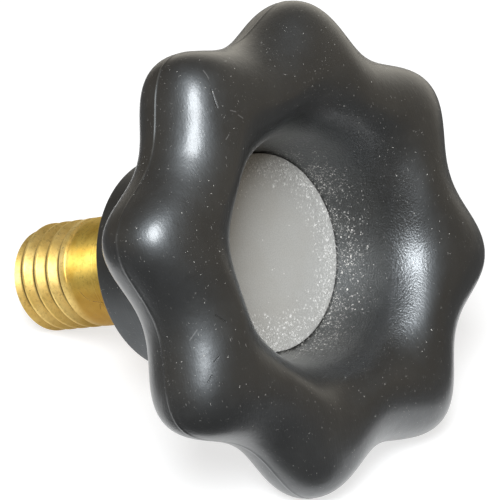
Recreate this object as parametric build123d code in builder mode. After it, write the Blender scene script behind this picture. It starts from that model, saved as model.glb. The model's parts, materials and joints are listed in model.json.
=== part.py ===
"""Tripod screw: a lobed hand knob moulded around a threaded brass stud, with a round badge disc in front.

Millimetres, +Z up. The screw lies as it comes to rest on a floor at z = 0: two of the knob's lobes and the
end of the stud touch the floor, and the knob's front faces +X and upward. Heights along the screw's own axis
are measured from the knob's back face, positive toward its front.
"""
import os
from math import atan2, cos, degrees, pi, radians, sin, tan

from build123d import *

os.makedirs("parts", exist_ok=True)

# Thread: 3/8 inch across, 16 turns to the inch, right-handed, 60 degrees between the flanks
thread_diameter = 9.525
thread_pitch = 1.5875
thread_depth_share = 0.613
crest_land_share = 0.125
flank_angle = 30
crest_taper = 0.04
thread_length = 7.52
full_turns = 5
runout_turns = 0.9
runout_end_angle = 98

# Stud: the plain shank, its flare into the knob, and the hexagonal anchor that the knob is moulded around
stud_reach = 16.03
end_chamfer = 0.65
shank_flare = 0.15
flare_reach = 0.2
anchor_sides = 6
anchor_across_flats = 12.0
anchor_cover = 2.5
anchor_skin = 1.5

# Knob rim, as rings from its back face over the widest part and the crest down into the front recess
lobe_count = 8
lobe_point_share = 0.073
lobe_start = 9.62
lobe_spread = 0.82
back_radius = 14.76
back_lobe = 1.56
widest_radius = 19.32
widest_lobe = 1.385
widest_height = 4.07
crest_radius = 13.92
crest_height = 8.755
throat_radius = 9.3
throat_height = 1.9
flare_stop_share = 0.245
rim_fullness = 2.19
flare_fullness = 1.985
parting_width = 0.24
parting_rise = 0.05

# Boss behind the rim
boss_radius = 9.2
boss_length = 10.9
boss_edge = 0.12
boss_root_fillet = 1.2

# Badge disc and its seat in the floor of the recess
badge_radius = 8.3
badge_thickness = 0.3
badge_edge = 0.06
badge_clearance = 0.12
glue_gap = 0.02
moulding_gap = 0.01

# How finely the rings are laid out
points_per_lobe = 8
back_rings = 6
front_rings = 8
flare_rings = 8
hull_fineness = 5
tilt_halvings = 50

# Derived sizes
thread_radius = thread_diameter / 2
thread_depth = thread_depth_share * thread_pitch
root_radius = thread_radius - thread_depth
groove_mouth = (1 - crest_land_share) * thread_pitch
groove_floor = groove_mouth - 2 * thread_depth * tan(radians(flank_angle))
stud_end = -boss_length - stud_reach
runout_height = stud_end + thread_length
flare_start = -boss_length - flare_reach
anchor_top = -anchor_cover
anchor_bottom = anchor_skin - boss_length
flare_radius = thread_radius + shank_flare
mouth_radius = thread_radius + shank_flare * flare_reach / (flare_reach + anchor_skin)
anchor_height = anchor_top - anchor_bottom
seat_radius = badge_radius + badge_clearance
ring_points = lobe_count * points_per_lobe
ring_parameters = [step / ring_points for step in range(ring_points + 1)]


def lobe_wave(angle):
    """How far an edge stands out at an angle from straight down: about 1 on a lobe, -1 in a valley."""
    turn = lobe_count * angle
    return lobe_point_share * cos(2 * turn) - cos(turn)


def quarter(share, fullness):
    """Run and rise of the rim's rounding, from (1, 0) at share 0 to (0, 1) at share 1."""
    angle = share * pi / 2
    return cos(angle) ** (2 / fullness), sin(angle) ** (2 / fullness)


def front_lobe(radius):
    """Lobe height on the rim's front at a mean radius: nothing in the recess, full at the widest part."""
    share = max(radius - lobe_start, 0) / (widest_radius - lobe_start)
    return widest_lobe * (1 - cos(pi * share**lobe_spread)) / 2


def rim_rings(fineness=1):
    """Mean radius, lobe height and height along the axis of each ring of the rim."""
    back_steps = back_rings * fineness
    front_steps = front_rings * fineness
    flare_steps = flare_rings * fineness
    rings = []
    for step in range(back_steps):
        run, rise = quarter(step / back_steps, rim_fullness)
        radius = back_radius + (widest_radius - back_radius) * rise
        lobe = back_lobe + (widest_lobe - back_lobe) * rise
        rings.append((radius, lobe, widest_height * (1 - run)))
    for step in range(front_steps):
        run, rise = quarter(step / front_steps, rim_fullness)
        radius = crest_radius + (widest_radius - crest_radius) * run
        height = widest_height + (crest_height - widest_height) * rise
        rings.append((radius, front_lobe(radius), height))
    for step in range(flare_steps + 1):
        run, rise = quarter(1 - (1 - flare_stop_share) * step / flare_steps, flare_fullness)
        radius = crest_radius - (crest_radius - throat_radius) * run
        height = throat_height + (crest_height - throat_height) * rise
        rings.append((radius, front_lobe(radius), height))
    return rings


def ring_outline(radius, lobe, fineness=1):
    """Points of one lobed ring about the axis."""
    count = ring_points * fineness
    angles = [2 * pi * step / count for step in range(count)]
    reaches = [(radius + lobe * lobe_wave(angle), angle) for angle in angles]
    return [(reach * cos(angle), reach * sin(angle)) for reach, angle in reaches]


def hull_points():
    """Points (downward, height) of the outermost shape, seen from the side."""
    points = []
    parting_ring = (widest_radius + parting_rise, widest_lobe, widest_height - parting_width / 2)
    for radius, lobe, height in (*rim_rings(hull_fineness), parting_ring):
        points += [(down, height) for down, _ in ring_outline(radius, lobe, hull_fineness)]
    for side in (1, -1):
        points.append((side * (thread_radius - crest_taper), stud_end + end_chamfer))
        points.append((side * (thread_radius - crest_taper - end_chamfer), stud_end))
    return points


def drop(points, tilt):
    """How far below the axis's zero point the lowest of the points lies when the front is tilted up."""
    return max(down * cos(tilt) - height * sin(tilt) for down, height in points)


def resting_tilt(points):
    """The tilt at which the knob's lobes and the stud's end touch the floor together."""
    knob_side = [point for point in points if point[1] >= 0]
    stud_side = [point for point in points if point[1] < 0]
    low, high = 0, pi / 2
    for _ in range(tilt_halvings):
        middle = (low + high) / 2
        if drop(knob_side, middle) > drop(stud_side, middle):
            low = middle
        else:
            high = middle
    return (low + high) / 2


hull = hull_points()
tilt = resting_tilt(hull)
reaches_x = [height * cos(tilt) + down * sin(tilt) for down, height in hull]
zero_x = -(max(reaches_x) + min(reaches_x)) / 2
zero_z = drop(hull, tilt)
front_direction = Vector(cos(tilt), 0, sin(tilt))
down_direction = Vector(sin(tilt), 0, -cos(tilt))
zero_point = Vector(zero_x, 0, zero_z)
screw_axis = Axis(zero_point, front_direction)


def across(height):
    """Plane across the axis at a height, its x direction pointing down."""
    return Plane(origin=zero_point + front_direction * height, x_dir=down_direction, z_dir=front_direction)


def along():
    """Plane that holds the axis: x is the distance from it, y the height along it."""
    return Plane(origin=zero_point, x_dir=down_direction, z_dir=down_direction.cross(front_direction))


def groove_line(height, turns, slope):
    """Helix along the floor of the thread's groove, from a height and widening by a slope in degrees."""
    helix = Edge.make_helix(
        thread_pitch, turns * thread_pitch, root_radius, across(height).origin, front_direction, slope
    )
    return helix.rotate(screw_axis, groove_turn)


def groove_section(start, height):
    """Plane of the groove's section at the start of its floor: x outward, y along the axis."""
    outward = (start - across(height).origin).normalized()
    return Plane(origin=start, x_dir=outward, z_dir=outward.cross(front_direction))


# Badge disc
with BuildPart() as badge_disc:
    with BuildSketch(across(glue_gap)):
        Circle(badge_radius)
    extrude(amount=badge_thickness)
    chamfer(badge_disc.faces().sort_by(screw_axis)[-1].edges(), badge_edge)
badge_disc.part.label = "badge_disc"
export_step(badge_disc.part, "parts/badge_disc.step")

# Threaded stud: anchor, shank and thread turned from one bar
runout_start_height = runout_height - runout_turns * thread_pitch
groove_start_height = runout_start_height - full_turns * thread_pitch
groove_turn = runout_end_angle - 360 * runout_turns
runout_slope = degrees(atan2(thread_depth, runout_turns * thread_pitch))
groove_clear = crest_taper + groove_floor
groove_clear_half = groove_mouth / 2 + groove_clear * tan(radians(flank_angle))
with BuildPart() as threaded_stud:
    with BuildSketch(along()):
        with BuildLine():
            Polyline(
                (0, stud_end),
                (thread_radius - crest_taper - end_chamfer, stud_end),
                (thread_radius - crest_taper, stud_end + end_chamfer),
                (thread_radius, runout_height),
                (thread_radius, flare_start),
                (flare_radius, anchor_bottom),
                (0, anchor_bottom),
                close=True,
            )
        make_face()
    revolve(axis=screw_axis)
    with BuildSketch(across(anchor_bottom)):
        RegularPolygon(anchor_across_flats / 2, anchor_sides, major_radius=False)
    extrude(amount=anchor_height)
    for height, turns, slope in (
        (groove_start_height, full_turns, 0),
        (runout_start_height, runout_turns, runout_slope),
    ):
        with BuildLine() as groove_path:
            add(groove_line(height, turns, slope))
        with BuildSketch(groove_section(groove_path.line @ 0, height)):
            with BuildLine():
                Polyline(
                    (0, -groove_floor / 2),
                    (thread_depth + groove_clear, -groove_clear_half),
                    (thread_depth + groove_clear, groove_clear_half),
                    (0, groove_floor / 2),
                    close=True,
                )
            make_face()
        sweep(path=groove_path.line, is_frenet=True, mode=Mode.SUBTRACT)
threaded_stud.part.label = "threaded_stud"
export_step(threaded_stud.part, "parts/threaded_stud.step")

# Knob: lobed rim, boss, badge seat and the hollow that the stud's buried end fills
with BuildPart() as knob:
    for radius, lobe, height in rim_rings():
        with BuildSketch(across(height)):
            with BuildLine():
                add(Edge.make_spline(ring_outline(radius, lobe), periodic=True, parameters=ring_parameters))
            make_face()
    loft()
    with BuildSketch(across(widest_height - parting_width / 2)):
        with BuildLine():
            parting_outline = ring_outline(widest_radius + parting_rise, widest_lobe)
            add(Edge.make_spline(parting_outline, periodic=True, parameters=ring_parameters))
        make_face()
        Circle(crest_radius, mode=Mode.SUBTRACT)
    extrude(amount=parting_width)
    with BuildSketch(across(0)):
        Circle(boss_radius)
    extrude(amount=-boss_length)
    chamfer(knob.faces().sort_by(screw_axis)[0].edges(), boss_edge)
    fillet(knob.edges().filter_by(GeomType.CIRCLE).sort_by(screw_axis)[-1], boss_root_fillet)
    for radius, lobe, height in ((seat_radius, 0, 0), rim_rings()[-1]):
        with BuildSketch(across(height)):
            with BuildLine():
                add(Edge.make_spline(ring_outline(radius, lobe), periodic=True, parameters=ring_parameters))
            make_face()
    loft(ruled=True, mode=Mode.SUBTRACT)
    with BuildSketch(along()):
        with BuildLine():
            Polyline(
                (0, -boss_length),
                (mouth_radius + moulding_gap, -boss_length),
                (flare_radius + moulding_gap, anchor_bottom),
                (0, anchor_bottom),
                close=True,
            )
        make_face()
    revolve(axis=screw_axis, mode=Mode.SUBTRACT)
    with BuildSketch(across(anchor_bottom - moulding_gap)):
        RegularPolygon(anchor_across_flats / 2 + moulding_gap, anchor_sides, major_radius=False)
    extrude(amount=anchor_height + 2 * moulding_gap, mode=Mode.SUBTRACT)
knob.part.label = "knob"
export_step(knob.part, "parts/knob.step")
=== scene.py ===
import json
import math

import bpy
import numpy as np
from mathutils import Matrix, Vector


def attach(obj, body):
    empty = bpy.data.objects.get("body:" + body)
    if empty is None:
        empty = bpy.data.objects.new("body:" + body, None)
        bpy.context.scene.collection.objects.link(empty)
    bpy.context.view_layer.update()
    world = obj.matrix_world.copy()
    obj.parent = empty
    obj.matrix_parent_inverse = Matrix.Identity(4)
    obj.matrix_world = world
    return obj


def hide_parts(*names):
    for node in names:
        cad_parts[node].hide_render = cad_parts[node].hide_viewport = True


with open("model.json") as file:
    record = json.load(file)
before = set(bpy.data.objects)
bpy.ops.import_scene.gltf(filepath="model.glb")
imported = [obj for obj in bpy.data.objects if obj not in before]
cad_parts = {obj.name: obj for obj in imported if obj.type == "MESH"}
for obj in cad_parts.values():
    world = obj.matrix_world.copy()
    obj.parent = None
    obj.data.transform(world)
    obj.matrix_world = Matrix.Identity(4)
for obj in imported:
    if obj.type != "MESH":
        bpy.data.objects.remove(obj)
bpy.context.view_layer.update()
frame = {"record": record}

MM = 0.001

# Sizes of the part in millimetres; heights run along the screw's axis from the knob's back face
THREAD_RADIUS = 4.7625
PITCH = 1.5875
THREAD_DEPTH = 0.613 * PITCH
FLANK_SLOPE = math.tan(math.radians(30))
GROOVE_FLOOR = 0.875 * PITCH - 2 * THREAD_DEPTH * FLANK_SLOPE
CREST_TAPER = 0.04
CREST_ROUNDING = 0.05
STUD_END = -26.93
END_CHAMFER = 0.65
RUNOUT_HEIGHT = -19.41
RUNOUT_TURNS = 0.9
RUNOUT_ANGLE = 278
FLARE_START = -11.1
FLARE_RADIUS = THREAD_RADIUS + 0.15
ANCHOR_HALF = 6.0
ANCHOR_TOP = -2.5
ANCHOR_BOTTOM = -9.4
MOULDING_GAP = 0.01
LOBES = 8
LOBE_POINT = 0.073
LOBE_START = 9.62
LOBE_SPREAD = 0.82
BACK_RADIUS, BACK_LOBE = 14.76, 1.56
WIDEST_RADIUS, WIDEST_LOBE, WIDEST_HEIGHT = 19.32, 1.385, 4.07
CREST_RADIUS, CREST_HEIGHT = 13.92, 8.755
THROAT_RADIUS, THROAT_HEIGHT = 9.3, 1.9
FLARE_STOP = 0.245
RIM_FULLNESS = 2.19
FLARE_FULLNESS = 1.985
PARTING_WIDTH = 0.24
PARTING_RISE = 0.025
BOSS_RADIUS = 9.2
BOSS_LENGTH = 10.9
BOSS_EDGE = 0.12
BOSS_WALL_START = 0.8
BOSS_FILLET = 1.2
HOLE_EDGE = 0.03
SEAT_RADIUS = 8.42
BADGE_RADIUS = 8.38
BADGE_BOTTOM = 0.02
BADGE_TOP = 0.32
BADGE_EDGE = 0.06
BADGE_BACK_EDGE = 0.02

# How finely each mesh is laid out: columns around the axis, and rings along the stud
KNOB_COLUMNS = 384
STUD_COLUMNS = 240
BADGE_COLUMNS = 256
THREAD_RINGS = 320
SHANK_RING_COUNT = 28
FINE_PAST_RUNOUT = 0.9
FIRST_SHANK_STEP = 0.05

# The screw's frame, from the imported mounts: local x points down, y sideways, z out of the knob's front
mounts = {mount["name"]: mount for mount in frame["record"]["mounts"]}
front = -Vector(mounts["shank"]["axis"]).normalized()
shank_half = mounts["shank"]["dims"]["length_mm"] / 2
zero = Vector(mounts["shank"]["pos_m"]) + front * (shank_half - FLARE_START) * MM
side = Vector((0, 1, 0))
down = side.cross(front)
axes = Matrix((down, side, front)).transposed()


def column_angles(columns):
    """Angles of a shell's columns, from straight down."""
    return np.linspace(0, 2 * np.pi, columns, endpoint=False)


def shell(name, node, radius, height, traits):
    """Closed mesh of rings radius[ring, column] at height[ring], with one point closing each end."""
    rings, columns = radius.shape
    angles = column_angles(columns)
    levels = np.broadcast_to(height[:, None], radius.shape)
    points = np.stack([radius * np.cos(angles), radius * np.sin(angles), levels], -1).reshape(-1, 3)
    points = np.concatenate([points, [[0, 0, height[0]], [0, 0, height[-1]]]])
    verts = points * MM @ np.array(axes).T + np.array(zero)
    ring = np.arange(columns)
    after = np.roll(ring, -1)
    faces = [[rings * columns, b, a] for a, b in zip(ring, after)]
    for row in range(rings - 1):
        low, high = row * columns, (row + 1) * columns
        faces += np.stack([low + ring, low + after, high + after, high + ring], -1).tolist()
    last = (rings - 1) * columns
    faces += [[rings * columns + 1, last + a, last + b] for a, b in zip(ring, after)]
    mesh = bpy.data.meshes.new(name)
    mesh.from_pydata(verts.tolist(), [], faces)
    for trait, values in traits.items():
        values = np.broadcast_to(values, radius.shape).reshape(-1)
        values = np.append(values, [values[0], values[-1]]).astype(np.float32)
        mesh.attributes.new(trait, "FLOAT", "POINT").data.foreach_set("value", values)
    mesh.shade_smooth()
    mesh.set_sharp_from_angle(angle=math.radians(32))
    piece = bpy.data.objects.new(name, mesh)
    bpy.context.scene.collection.objects.link(piece)
    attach(piece, "root")
    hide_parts(node)
    return piece


def wave(angle):
    """How far an edge stands out at an angle from straight down: about 1 on a lobe, -1 in a valley."""
    turn = LOBES * angle
    return LOBE_POINT * np.cos(2 * turn) - np.cos(turn)


def quarter(share, fullness):
    """Run and rise of the rim's rounding, from (1, 0) at share 0 to (0, 1) at share 1."""
    angle = share * np.pi / 2
    return np.cos(angle) ** (2 / fullness), np.sin(angle) ** (2 / fullness)


def hexagon(angle, half):
    """Reach of a hexagon with a corner straight down, from half its width across flats."""
    return half / np.cos(angle % (np.pi / 3) - np.pi / 6)


def between(start, end, share):
    return start + (end - start) * share


# Knob
def front_lobe(radius):
    """Lobe height on the rim's front at a mean radius: nothing in the recess, full at the widest part."""
    share = max(radius - LOBE_START, 0) / (WIDEST_RADIUS - LOBE_START)
    return WIDEST_LOBE * (1 - math.cos(math.pi * share**LOBE_SPREAD)) / 2


def knob_rings():
    """The knob's rings from the stud's hole over the boss and the rim to the floor of the recess.

    Each row holds a mean radius, a height, a lobe height and the ring's share in the boss, the parting
    line and the depth of the recess; the parting share also runs along the boss's rounded edge, where
    its pale colour is a painted highlight.
    """
    rings = []

    def ring(radius, height, lobe=0, boss=0, parting_and_edge_highlight=0, recess=0):
        rings.append((radius, height, lobe, boss, parting_and_edge_highlight, recess))

    # the hole and the boss's flat end
    flared = (-BOSS_LENGTH - FLARE_START) / (ANCHOR_BOTTOM - FLARE_START)
    hole = between(THREAD_RADIUS, FLARE_RADIUS, flared) + MOULDING_GAP
    ring(FLARE_RADIUS + MOULDING_GAP, ANCHOR_BOTTOM - MOULDING_GAP, boss=1)
    ring(hole, -BOSS_LENGTH + HOLE_EDGE, boss=1)
    ring(hole + HOLE_EDGE, -BOSS_LENGTH, boss=1)
    ring((hole + BOSS_RADIUS) / 2, -BOSS_LENGTH, boss=1)
    # the boss: its rounded edge, which gets a painted highlight through the parting share, its wall and its
    # root
    for a in np.linspace(0, np.pi / 2, 6):
        radius = BOSS_RADIUS - BOSS_EDGE * (1 - math.sin(a))
        ring(radius, -BOSS_LENGTH + BOSS_EDGE * (1 - math.cos(a)), boss=1, parting_and_edge_highlight=math.sin(2 * a))
    for height in np.linspace(-BOSS_LENGTH + BOSS_WALL_START, -BOSS_FILLET, 12):
        ring(BOSS_RADIUS, height, boss=1)
    for a in np.linspace(0, np.pi / 2, 9)[1:]:
        radius = BOSS_RADIUS + BOSS_FILLET * (1 - math.cos(a))
        ring(radius, -BOSS_FILLET * (1 - math.sin(a)), boss=math.cos(a))
    # the rim: its back face, its rounding up to the parting line, and over the crest
    for share in np.linspace(0, 1, 7)[1:-1]:
        ring(between(BOSS_RADIUS + BOSS_FILLET, BACK_RADIUS, share), 0, BACK_LOBE * share)
    for share in np.linspace(0, 0.97, 26):
        run, rise = quarter(share, RIM_FULLNESS)
        lobe = between(BACK_LOBE, WIDEST_LOBE, rise)
        ring(between(BACK_RADIUS, WIDEST_RADIUS, rise), WIDEST_HEIGHT * (1 - run), lobe)
    for step in (-1.0, -0.7, -0.35, 0.0, 0.35, 0.7, 1.0):
        lift = 1 - step * step
        height = WIDEST_HEIGHT + step * PARTING_WIDTH / 2
        ring(WIDEST_RADIUS + PARTING_RISE * lift, height, WIDEST_LOBE, parting_and_edge_highlight=lift)
    for share in np.linspace(0.04, 0.99, 34):
        run, rise = quarter(share, RIM_FULLNESS)
        radius = between(CREST_RADIUS, WIDEST_RADIUS, run)
        ring(radius, between(WIDEST_HEIGHT, CREST_HEIGHT, rise), front_lobe(radius))
    # the recess: its flare, the wall of the badge's seat and the floor
    for share in np.linspace(1, FLARE_STOP, 40):
        run, rise = quarter(share, FLARE_FULLNESS)
        radius = between(CREST_RADIUS, THROAT_RADIUS, run)
        height = between(THROAT_HEIGHT, CREST_HEIGHT, rise)
        ring(radius, height, front_lobe(radius), recess=1 - height / CREST_HEIGHT)
    wall_radius, wall_height = radius, height
    for share in np.linspace(0, 1, 18)[1:]:
        height = wall_height * (1 - share)
        ring(between(wall_radius, SEAT_RADIUS, share), height, recess=1 - height / CREST_HEIGHT)
    for share in (0.9, 0.4):
        ring(SEAT_RADIUS * share, 0, recess=1)
    return np.array(rings)


def build_knob():
    """The knob as one shell, from the top of the anchor's hollow round to the floor of the recess."""
    angles = column_angles(KNOB_COLUMNS)
    hollow = hexagon(angles, ANCHOR_HALF + MOULDING_GAP)
    rings = knob_rings()
    outer = rings[:, :1] + rings[:, 2:3] * wave(angles)
    radius = np.concatenate([np.stack([hollow * 0.5, hollow, hollow]), outer])
    top, bottom = ANCHOR_TOP + MOULDING_GAP, ANCHOR_BOTTOM - MOULDING_GAP
    height = np.concatenate([[top, top, bottom], rings[:, 1]])
    boss, parting_and_edge_highlight, recess = (np.concatenate([[0, 0, 0], rings[:, k]])[:, None] for k in (3, 4, 5))
    traits = {"boss": boss, "parting_and_edge_highlight": parting_and_edge_highlight, "recess": recess}
    return shell("knob_moulding", "knob", radius, height, traits)


# Stud
def soft_min(a, b, reach):
    """The smaller of two values, rounded where they come within reach of each other."""
    share = np.clip(0.5 + (b - a) / (2 * reach), 0, 1)
    return b + (a - b) * share - reach * share * (1 - share)


def thread_radius(angle, height):
    """Radius of the stud's free length at an angle (degrees from downward) and height."""
    taper = np.clip((RUNOUT_HEIGHT - height) / (RUNOUT_HEIGHT - STUD_END - END_CHAMFER), 0, 1)
    chamfer = np.clip(STUD_END + END_CHAMFER - height, 0, None)
    blank = THREAD_RADIUS - CREST_TAPER * taper - chamfer
    left = (RUNOUT_ANGLE - angle) % 360
    cut = np.full(np.broadcast(angle, height).shape, np.inf)
    for turn in range(7):
        travelled = left + 360 * turn
        centre = RUNOUT_HEIGHT - PITCH * travelled / 360
        depth = THREAD_DEPTH * np.clip(travelled / (360 * RUNOUT_TURNS), 0, 1)
        off = np.clip(np.abs(height - centre) - GROOVE_FLOOR / 2, 0, None)
        cut = np.minimum(cut, THREAD_RADIUS - depth + off / FLANK_SLOPE)
    return soft_min(blank, cut, CREST_ROUNDING)


def build_stud():
    """The stud as one shell: end face, thread, shank, flare and the hexagonal anchor in the knob."""
    angles = column_angles(STUD_COLUMNS)
    fine_end = RUNOUT_HEIGHT + FINE_PAST_RUNOUT
    threaded = np.linspace(STUD_END, fine_end, THREAD_RINGS)
    shank = np.linspace(fine_end + FIRST_SHANK_STEP, FLARE_START, SHANK_RING_COUNT)
    free = np.concatenate([threaded, shank])
    body = thread_radius(np.degrees(angles), free[:, None])
    end_face = body[:1] * np.array([[0.45], [0.85], [0.97]])
    flare = np.full((1, STUD_COLUMNS), FLARE_RADIUS)
    anchor = np.outer([1, 1, 0.5], hexagon(angles, ANCHOR_HALF))
    radius = np.concatenate([end_face, body, flare, anchor])
    height = np.concatenate([[STUD_END] * 3, free, [ANCHOR_BOTTOM] * 2, [ANCHOR_TOP] * 2])
    sunk = np.clip((THREAD_RADIUS - radius) / THREAD_DEPTH, 0, 1)
    sunk[:3] = 0
    threads = np.clip((RUNOUT_HEIGHT + 0.4 - height) / 1.2, 0, 1)[:, None]
    traits = {"sunk": sunk, "threads": threads}
    return shell("stud_turned", "threaded_stud", radius, height, traits)


# Badge disc
def build_badge():
    """The badge as one shell, from its back round its edge to its front."""
    rings = [
        (BADGE_RADIUS * 0.5, BADGE_BOTTOM),
        (BADGE_RADIUS - BADGE_BACK_EDGE, BADGE_BOTTOM),
        (BADGE_RADIUS, BADGE_BOTTOM + BADGE_BACK_EDGE),
        (BADGE_RADIUS, BADGE_TOP - BADGE_EDGE),
        (BADGE_RADIUS - 0.3 * BADGE_EDGE, BADGE_TOP - 0.3 * BADGE_EDGE),
        (BADGE_RADIUS - BADGE_EDGE, BADGE_TOP),
    ]
    rings += [(BADGE_RADIUS * share, BADGE_TOP) for share in np.linspace(0.96, 0.06, 16)]
    rings = np.array(rings)
    radius = np.repeat(rings[:, :1], BADGE_COLUMNS, axis=1)
    return shell("badge_plate", "badge_disc", radius, rings[:, 1], {})


# Materials
class Paint:
    """The node tree of a material or a world, with short ways to add nodes and join them."""

    def __init__(self, owner):
        owner.use_nodes = True
        self.owner = owner
        self.tree = owner.node_tree

    def feed(self, socket, value):
        """Links a node's output to a socket, or sets a plain value on it."""
        if isinstance(value, bpy.types.NodeSocket):
            self.tree.links.new(value, socket)
        else:
            socket.default_value = value

    def node(self, kind, inputs=None, **settings):
        made = self.tree.nodes.new("ShaderNode" + kind)
        for key, value in settings.items():
            setattr(made, key, value)
        for key, value in (inputs or {}).items():
            self.feed(made.inputs[key], value)
        return made

    def math(self, operation, a, b=0.0, c=0.0):
        return self.node("Math", {0: a, 1: b, 2: c}, operation=operation).outputs[0]

    def times(self, a, b):
        return self.math("MULTIPLY", a, b)

    def most(self, a, b):
        return self.math("MAXIMUM", a, b)

    def vector(self, operation, a, b=(0, 0, 0)):
        return self.node("VectorMath", {0: a, 1: b}, operation=operation).outputs["Vector"]

    def measure(self, operation, a, b=(0, 0, 0)):
        """A number taken from vectors, such as their dot product or distance."""
        return self.node("VectorMath", {0: a, 1: b}, operation=operation).outputs["Value"]

    def away(self):
        """Where a point lies from the screw's zero point, in metres along the part's own axes."""
        return self.vector("SUBTRACT", self.node("TexCoord").outputs["Object"], zero)

    def place(self):
        """Coordinates along the screw's own axes, in millimetres."""
        away = self.away()
        along = [self.measure("DOT_PRODUCT", away, axis / MM) for axis in (down, side, front)]
        return self.node("CombineXYZ", dict(enumerate(along))).outputs[0]

    def trait(self, name):
        return self.node("Attribute", attribute_name=name).outputs["Fac"]

    def stretch(self, where, scale, turn=(0, 0, 0)):
        return self.node("Mapping", {"Vector": where, "Rotation": turn, "Scale": scale}).outputs[0]

    def share(self, value, low, high, start=0.0, end=1.0):
        """start where value is at low, end where it is at high, smooth between."""
        inputs = {"Value": value, "From Min": low, "From Max": high, "To Min": start, "To Max": end}
        return self.node("MapRange", inputs, interpolation_type="SMOOTHSTEP").outputs["Result"]

    def mix(self, share, a, b):
        """Colour a where share is 0, b where it is 1."""
        # the node's colour sockets come after those for numbers and vectors
        inputs = {0: share, 6: a, 7: b}
        return self.node("Mix", inputs, data_type="RGBA").outputs[2]

    def cover(self, color, share, strength, other):
        """A colour covered by another, up to a strength where share is 1."""
        return self.mix(self.times(share, strength), color, other)

    def noise(self, where, scale, detail=2.0, roughness=0.5):
        inputs = {"Vector": where, "Scale": scale, "Detail": detail, "Roughness": roughness}
        return self.node("TexNoise", inputs).outputs["Fac"]

    def warp(self, where, scale, amount):
        """Coordinates shaken by noise, so that spots drawn with them aren't round."""
        shake = self.node("TexNoise", {"Vector": where, "Scale": scale}).outputs["Color"]
        inputs = {0: shake, 1: (amount, amount, amount), 2: where}
        return self.node("VectorMath", inputs, operation="MULTIPLY_ADD").outputs["Vector"]

    def specks(self, where, scale, portion, size):
        """Spots up to a size (a share of their spacing) in a random portion of cells."""
        cells = self.node("TexVoronoi", {"Vector": where, "Scale": scale})
        chance = self.node("SeparateColor", {0: cells.outputs["Color"]})
        chosen = self.math("LESS_THAN", chance.outputs[0], portion)
        reach = self.math("MULTIPLY_ADD", chance.outputs[1], size * 0.7, size * 0.3)
        inside = self.math("SUBTRACT", reach, cells.outputs["Distance"])
        strength = self.times(chosen, self.share(chance.outputs[2], 0, 1, 0.2, 1.0))
        return self.times(strength, self.share(inside, 0, size * 0.35))

    def strokes(self, where, lines, width):
        """Straight marks of a half width between pairs of points, as a share from 0 to 1."""
        marks = None
        for start, end in lines:
            length = Vector(end) - Vector(start)
            near = self.vector("SUBTRACT", where, start)
            along = self.measure("DOT_PRODUCT", near, length / length.length_squared)
            along = self.node("Clamp", {"Value": along}).outputs[0]
            foot = self.node("VectorMath", {0: length, "Scale": along}, operation="SCALE").outputs["Vector"]
            mark = self.share(self.measure("DISTANCE", near, foot), width, 0.3 * width)
            marks = mark if marks is None else self.most(marks, mark)
        return marks

    def bump(self, height, distance, strength, normal=None):
        """Relief of a height share over a distance in millimetres, on top of an earlier relief."""
        inputs = {"Height": height, "Distance": distance * MM, "Strength": strength}
        if normal is not None:
            inputs["Normal"] = normal
        return self.node("Bump", inputs).outputs[0]

    def finish(self, **sockets):
        """Feeds the surface shader's sockets, named with underscores for spaces."""
        surface = self.tree.nodes["Principled BSDF"]
        for name, value in sockets.items():
            self.feed(surface.inputs[name.replace("_", " ")], value)
        return self.owner


def rgb(red, green, blue):
    return (red, green, blue, 1)


# Marks of use on the knob, in the screw's own millimetres: cut nicks, then pale scuffs
NICKS = (
    ((-16.45, -7.75, 8.1), (-14.95, -8.1, 8.4)),
    ((4.96, -17.8, 7.56), (4.6, -17.4, 7.8)),
    ((3.6, -16.85, 8.0), (3.4, -16.4, 8.2)),
    ((0.2, -15.37, 8.32), (1.03, -14.79, 8.56)),
)
SCUFFS = (
    ((-16.1, -7.75, 8.2), (-14.9, -8.0, 8.45)),
    ((-14.3, -7.0, 8.7), (-14.0, -6.5, 8.73)),
    ((-13.7, -6.4, 8.74), (-13.28, -6.01, 8.75)),
    ((-12.34, -8.48, 8.67), (-12.6, -8.05, 8.72)),
    ((-18.0, -7.25, 7.4), (-17.3, -7.35, 7.8)),
    ((0.8, -16.88, 7.28), (1.42, -17.44, 6.7)),
    ((-1.5, -15.9, 8.1), (-0.9, -15.5, 8.2)),
)
KNOB_MARK_WIDTH = 0.07
RUBBED_PLACE = (-16.0, -10.7, WIDEST_HEIGHT)


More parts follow.
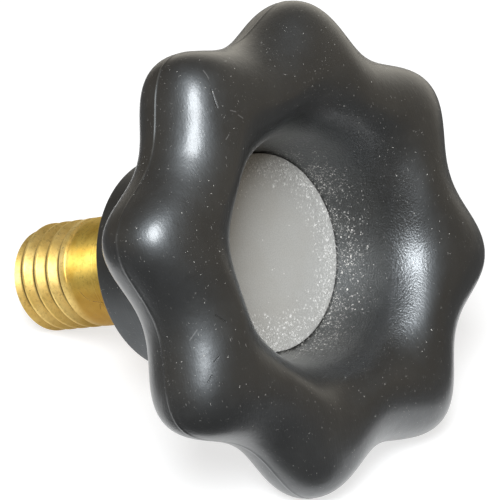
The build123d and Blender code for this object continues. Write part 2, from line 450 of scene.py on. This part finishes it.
def knob_plastic():
    """Worn semi-gloss black plastic, dusty around the badge."""
    paint = Paint(bpy.data.materials.new("knob_plastic"))
    where = paint.place()
    recess = paint.trait("recess")
    boss = paint.trait("boss")
    parting_and_edge_highlight = paint.trait("parting_and_edge_highlight")
    # near-black body with a haze from handling
    cloud = paint.share(paint.noise(where, 0.18, 4), 0.35, 0.7)
    color = paint.mix(cloud, rgb(0.0095, 0.0085, 0.0075), rgb(0.0155, 0.014, 0.012))
    haze = paint.share(paint.noise(where, 0.5, 5, 0.65), 0.5, 0.8)
    color = paint.cover(color, haze, 0.3, rgb(0.035, 0.033, 0.030))
    # parting line, pale where it is worn, most of all in one place; along the boss's rounded edge the same
    # pale colour is a painted highlight
    wear_and_edge_highlight = paint.times(parting_and_edge_highlight, paint.share(paint.noise(where, 0.35, 3), 0.48, 0.62))
    color = paint.cover(color, wear_and_edge_highlight, 0.3, rgb(0.16, 0.16, 0.155))
    rubbed = paint.times(parting_and_edge_highlight, paint.share(paint.measure("DISTANCE", where, RUBBED_PLACE), 2.8, 1.2))
    color = paint.cover(color, rubbed, 0.7, rgb(0.30, 0.32, 0.33))
    nicks = paint.strokes(where, NICKS, KNOB_MARK_WIDTH)
    scuffs = paint.strokes(where, SCUFFS, KNOB_MARK_WIDTH)
    color = paint.cover(color, scuffs, 0.38, rgb(0.22, 0.215, 0.21))
    # dust: single specks, a thick sprinkling around the badge, and short fibres in three directions
    patch = paint.share(paint.noise(where, 0.3, 3), 0.35, 0.65)
    shaken = paint.warp(where, 5.0, 0.4)
    film = paint.times(paint.share(recess, 0.5, 0.92), paint.share(patch, 0, 1, 0.4, 1.0))
    dust = paint.specks(shaken, 2.6, paint.share(patch, 0, 1, 0.07, 0.24), 0.17)
    dust = paint.most(dust, paint.specks(shaken, 5.5, paint.share(patch, 0, 1, 0.1, 0.35), 0.24))
    dust = paint.most(dust, paint.specks(shaken, 7.0, film, 0.62))
    dust = paint.most(dust, paint.specks(shaken, 4.2, paint.times(film, 0.4), 0.4))
    for turn in ((0.3, 0.9, 0.4), (1.3, 0.2, 1.1), (0.8, 1.9, 2.2)):
        strand = paint.specks(paint.stretch(where, (0.6, 4.2, 4.2), turn), 1.0, 0.2, 0.14)
        dust = paint.most(dust, paint.times(strand, 0.45))
    color = paint.cover(color, film, 0.07, rgb(0.30, 0.29, 0.27))
    color = paint.cover(color, dust, 0.85, rgb(0.66, 0.64, 0.60))
    # roughness: the recess is handled less and keeps more of its gloss
    inside = paint.share(recess, 0.02, 0.2)
    rough = paint.share(paint.noise(where, 0.9, 4), 0.3, 0.75, 0.5, 0.56)
    rough = paint.math("SUBTRACT", rough, paint.times(inside, 0.1))
    rough = paint.math("ADD", rough, paint.times(dust, 0.3))
    gloss = paint.share(paint.most(dust, boss), 0, 1, 1.0, 0.2)
    # relief: moulded grain, hairlines, nicks and the boss's turned lines
    normal = paint.bump(paint.noise(where, 0.7, 3), 0.1, 0.3)
    normal = paint.bump(paint.noise(where, 4.5, 3), 0.016, 0.35, normal)
    normal = paint.bump(paint.times(paint.noise(where, 6.0, 3), inside), 0.046, 0.85, normal)
    for turn in ((0.2, 0.7, 0.5), (1.1, 0.4, 2.0)):
        hairs = paint.noise(paint.stretch(where, (0.5, 6.0, 6.0), turn), 1.0, 2)
        normal = paint.bump(hairs, 0.016, 0.35, normal)
    normal = paint.bump(nicks, -0.06, 0.8, normal)
    lines = paint.noise(paint.stretch(where, (0.02, 0.02, 4.5)), 1.0, 3, 0.7)
    normal = paint.bump(paint.times(lines, boss), 0.03, 0.5, normal)
    return paint.finish(
        Base_Color=color, Roughness=rough, Normal=normal, IOR=1.82,
        Coat_Weight=gloss, Coat_Roughness=0.31, Coat_IOR=1.5, Coat_Normal=normal,
        Specular_Tint=rgb(0.86, 0.94, 1.0),
    )


# Marks on the stud's plain shank: scratches, and the heights of two turned rings
SCRATCHES = (
    ((0.08, -4.76, -18.33), (0.66, -4.72, -18.04)),
    ((0.66, -4.72, -18.04), (1.12, -4.63, -17.58)),
    ((1.22, -4.6, -17.27), (1.49, -4.52, -16.08)),
    ((1.55, -4.5, -16.63), (2.07, -4.29, -16.99)),
)
SCRATCH_WIDTH = 0.06
SHANK_RINGS = (-16.5, -16.2)


def stud_brass():
    """Turned brass with painted shade below, pits, tarnish, and grime with painted shade deep in the
    thread.
    """
    paint = Paint(bpy.data.materials.new("stud_brass"))
    where = paint.place()
    sunk = paint.trait("sunk")
    threads = paint.trait("threads")
    # metal: golden shank, paler thread, both darker toward the underside with painted shade
    cloud = paint.share(paint.noise(where, 0.45, 4, 0.6), 0.35, 0.7)
    shank = paint.mix(cloud, rgb(0.95, 0.68, 0.15), rgb(0.82, 0.52, 0.08))
    flanks = paint.mix(cloud, rgb(0.95, 0.73, 0.28), rgb(0.80, 0.57, 0.17))
    spread = paint.node("SeparateXYZ", {0: where})
    # painted shade: the shank and the thread turn dark brown toward the underside
    low = paint.share(spread.outputs["X"], -1.5, 1.3, 0.0, 0.85)
    shank = paint.mix(low, shank, rgb(0.42, 0.23, 0.035))
    thread_painted_shade = paint.share(spread.outputs["X"], 0.5, 4.6, 0.0, 0.75)
    flanks = paint.mix(thread_painted_shade, flanks, rgb(0.36, 0.22, 0.045))
    color = paint.mix(threads, shank, flanks)
    # age: tarnish, pits, scratches, and deep in the groove grime with painted shade
    tarnish = paint.share(paint.noise(where, 3.2, 5, 0.75), 0.48, 0.68)
    color = paint.cover(color, tarnish, 0.42, rgb(0.40, 0.23, 0.05))
    pits = paint.specks(paint.warp(where, 5.0, 0.3), 2.6, 0.5, 0.22)
    color = paint.cover(color, pits, 0.7, rgb(0.16, 0.09, 0.03))
    scratches = paint.strokes(where, SCRATCHES, SCRATCH_WIDTH)
    color = paint.cover(color, scratches, 0.6, rgb(0.14, 0.07, 0.02))
    # grime and painted shade: one dark colour deep in the groove
    grime_and_painted_shade = paint.share(sunk, 0.62, 0.84)
    color = paint.cover(color, grime_and_painted_shade, 0.85, rgb(0.05, 0.03, 0.012))
    rough = paint.share(paint.noise(where, 1.1, 4), 0.3, 0.7, 0.48, 0.54)
    rough = paint.math("ADD", rough, paint.times(threads, 0.05))
    rough = paint.math("ADD", rough, paint.times(grime_and_painted_shade, 0.3))
    # relief: the lathe's fine lines, pits, scratches and two turned rings
    turned = paint.noise(paint.stretch(where, (0.03, 0.03, 9.0)), 1.0, 3, 0.7)
    normal = paint.bump(turned, 0.01, 0.35)
    normal = paint.bump(pits, -0.03, 0.7, normal)
    normal = paint.bump(scratches, -0.05, 0.8, normal)
    for height in SHANK_RINGS:
        off = paint.math("ABSOLUTE", paint.math("SUBTRACT", spread.outputs["Z"], height))
        normal = paint.bump(paint.share(off, 0.09, 0.0), -0.03, 0.8, normal)
    # the lathe's grain runs around the axis
    tangent = paint.vector("NORMALIZE", paint.vector("CROSS_PRODUCT", front, paint.away()))
    return paint.finish(
        Base_Color=color, Roughness=rough, Normal=normal, Metallic=paint.share(threads, 0, 1, 0.84, 0.88),
        Anisotropic=paint.share(threads, 0, 1, 0.93, 0.6), Anisotropic_Rotation=0.25, Tangent=tangent,
    )


def badge_metal():
    """Satin metal with dust gathered around its rim."""
    paint = Paint(bpy.data.materials.new("badge_metal"))
    where = paint.place()
    grain = paint.noise(where, 9.0, 2)
    color = paint.mix(paint.share(grain, 0.3, 0.7), rgb(0.58, 0.58, 0.555), rgb(0.67, 0.67, 0.645))
    cloud = paint.share(paint.noise(where, 0.3, 4), 0.4, 0.7)
    color = paint.cover(color, cloud, 0.15, rgb(0.52, 0.49, 0.43))
    reach = paint.measure("LENGTH", paint.stretch(where, (1, 1, 0)))
    margin = paint.share(reach, BADGE_RADIUS * 0.55, BADGE_RADIUS * 0.95)
    drift = paint.share(paint.noise(where, 0.3, 3), 0.3, 0.6, 0.3, 1.0)
    rim = paint.times(margin, drift)
    dust = paint.specks(paint.warp(where, 5.0, 0.4), 6.8, rim, 0.8)
    dust = paint.most(dust, paint.specks(where, 2.6, 0.06, 0.25))
    color = paint.cover(color, dust, 0.8, rgb(0.97, 0.96, 0.93))
    metallic = paint.share(dust, 0, 1, 0.4, 0.0)
    rough = paint.share(grain, 0.3, 0.7, 0.42, 0.5)
    rough = paint.math("ADD", rough, paint.times(dust, 0.3))
    normal = paint.bump(grain, 0.01, 0.3)
    normal = paint.bump(paint.times(paint.noise(where, 10.0, 2), rim), 0.07, 0.9, normal)
    return paint.finish(Base_Color=color, Roughness=rough, Metallic=metallic, Normal=normal)


knob = build_knob()
stud = build_stud()
badge = build_badge()
knob.data.materials.append(knob_plastic())
stud.data.materials.append(stud_brass())
badge.data.materials.append(badge_metal())


# Camera: the photograph's view, focal length and centre in pixels of the frame, distance in millimetres
FRAME_WIDTH = 500
SENSOR_WIDTH = 36
FOCAL = 4424.134
DISTANCE = 371.458
AZIMUTH, ELEVATION, ROLL = (math.radians(value) for value in (44.873, 4.685, -1.508))
CENTRE = (264.389, 252.817)
RESTING_TURN = math.radians(292.5)
level_share = math.cos(ELEVATION)
seen_front = Vector((math.sin(AZIMUTH) * level_share, math.sin(ELEVATION), math.cos(AZIMUTH) * level_share))
level = Vector((0, 1, 0)).cross(seen_front).normalized()
rise = seen_front.cross(level)
across = level * math.cos(ROLL) + rise * math.sin(ROLL)
above = rise * math.cos(ROLL) - level * math.sin(ROLL)
seen_down = across * math.cos(RESTING_TURN) + above * math.sin(RESTING_TURN)
seen_side = seen_front.cross(seen_down)
seen_axes = Matrix((seen_down, seen_side, seen_front)).transposed()
turn = axes @ seen_axes.transposed()
middle = FRAME_WIDTH / 2
offset = Vector(((CENTRE[0] - middle) / FOCAL, -(CENTRE[1] - middle) / FOCAL, -1)) * DISTANCE * MM
camera_data = bpy.data.cameras.new("camera")
camera_data.sensor_width = SENSOR_WIDTH
camera_data.lens = FOCAL / FRAME_WIDTH * SENSOR_WIDTH
camera_data.clip_start = 0.01
camera = bpy.data.objects.new("camera", camera_data)
camera.matrix_world = Matrix.Translation(zero - turn @ offset) @ turn.to_4x4()
bpy.context.scene.collection.objects.link(camera)
bpy.context.scene.camera = camera


# Floor: a white card under the part, taking its shadow, on a grey table; sizes in metres
TABLE_SIZE = 0.34
CARD_FRONT = 0.0198
CARD_BACK = -0.095
CARD_SIDE = 0.0305
CARD_BLUR = 0.0007


def floor_paper(nearer):
    """Paper of the card and the table, for a direction along the floor toward the camera."""
    paint = Paint(bpy.data.materials.new("floor"))
    path = paint.node("LightPath")
    shown = paint.most(path.outputs["Is Camera Ray"], path.outputs["Is Glossy Ray"])
    shown = paint.most(shown, path.outputs["Is Transmission Ray"])
    where = paint.node("TexCoord").outputs["Object"]
    ahead = paint.measure("DOT_PRODUCT", where, nearer)
    beside = paint.measure("DOT_PRODUCT", where, nearer.cross(Vector((0, 0, 1))))
    beside = paint.math("ABSOLUTE", beside)
    card = paint.share(ahead, CARD_FRONT + CARD_BLUR, CARD_FRONT)
    card = paint.times(card, paint.share(beside, CARD_SIDE + CARD_BLUR, CARD_SIDE))
    card = paint.times(card, paint.share(ahead, CARD_BACK - CARD_BLUR, CARD_BACK))
    fibre = paint.share(paint.noise(where, 800, 3), 0.3, 0.7)
    paper = paint.mix(fibre, rgb(0.78, 0.78, 0.78), rgb(0.82, 0.82, 0.82))
    lit = paint.node("BsdfDiffuse", {"Color": paint.mix(card, rgb(0.12, 0.12, 0.12), paper)})
    shade = paint.node("BsdfDiffuse", {"Color": paint.mix(card, rgb(0.1, 0.1, 0.1), rgb(0.4, 0.4, 0.4))})
    glow = paint.node("Emission", {"Color": rgb(1, 1, 1), "Strength": paint.share(card, 0, 1, 0.03, 0.72)})
    white = paint.node("AddShader", {0: shade.outputs[0], 1: glow.outputs[0]})
    both = paint.node("MixShader", {0: shown, 1: lit.outputs[0], 2: white.outputs[0]})
    nodes = paint.tree.nodes
    paint.feed(nodes["Material Output"].inputs["Surface"], both.outputs[0])
    nodes.remove(nodes["Principled BSDF"])
    return paint.owner


toward_camera = turn @ Vector((0, 0, 1))
bpy.ops.mesh.primitive_plane_add(size=TABLE_SIZE)
floor = bpy.context.object
floor.name = "floor"
floor.data.materials.append(floor_paper(Vector((toward_camera.x, toward_camera.y, 0)).normalized()))

# Light: one soft lamp above the camera
LAMP_DISTANCE = 0.6
toward_lamp = (turn @ Vector((-0.06, 0.355, 0.93))).normalized()
lamp_data = bpy.data.lights.new("key", "AREA")
lamp_data.shape = "ELLIPSE"
lamp_data.size = 0.26
lamp_data.size_y = 0.35
lamp_data.energy = 5.6
lamp_data.color = (0.94, 0.97, 1.0)
lamp = bpy.data.objects.new("key", lamp_data)
lamp.location = zero + toward_lamp * LAMP_DISTANCE
lamp.rotation_euler = toward_lamp.to_track_quat("Z", "Y").to_euler()
bpy.context.scene.collection.objects.link(lamp)


def room():
    """A dim warm room, pale behind the part and a little lighter at its sides."""
    paint = Paint(bpy.data.worlds.new("room"))
    direction = paint.node("TexCoord").outputs["Generated"]

    def facing(toward):
        return paint.measure("DOT_PRODUCT", direction, turn @ Vector(toward).normalized())

    sides = paint.share(paint.math("ABSOLUTE", facing((1.0, 0.15, -0.1))), 0.4, 1.0)
    behind = paint.share(facing((0.25, 0.32, -0.91)), 0.58, 0.95)
    color = paint.mix(sides, rgb(0.122, 0.104, 0.082), rgb(0.26, 0.22, 0.17))
    color = paint.mix(behind, color, rgb(1.0, 0.94, 0.82))
    paint.feed(paint.tree.nodes["Background"].inputs["Color"], color)
    return paint.owner


bpy.context.scene.world = room()
bpy.context.scene.view_settings.view_transform = "Standard"
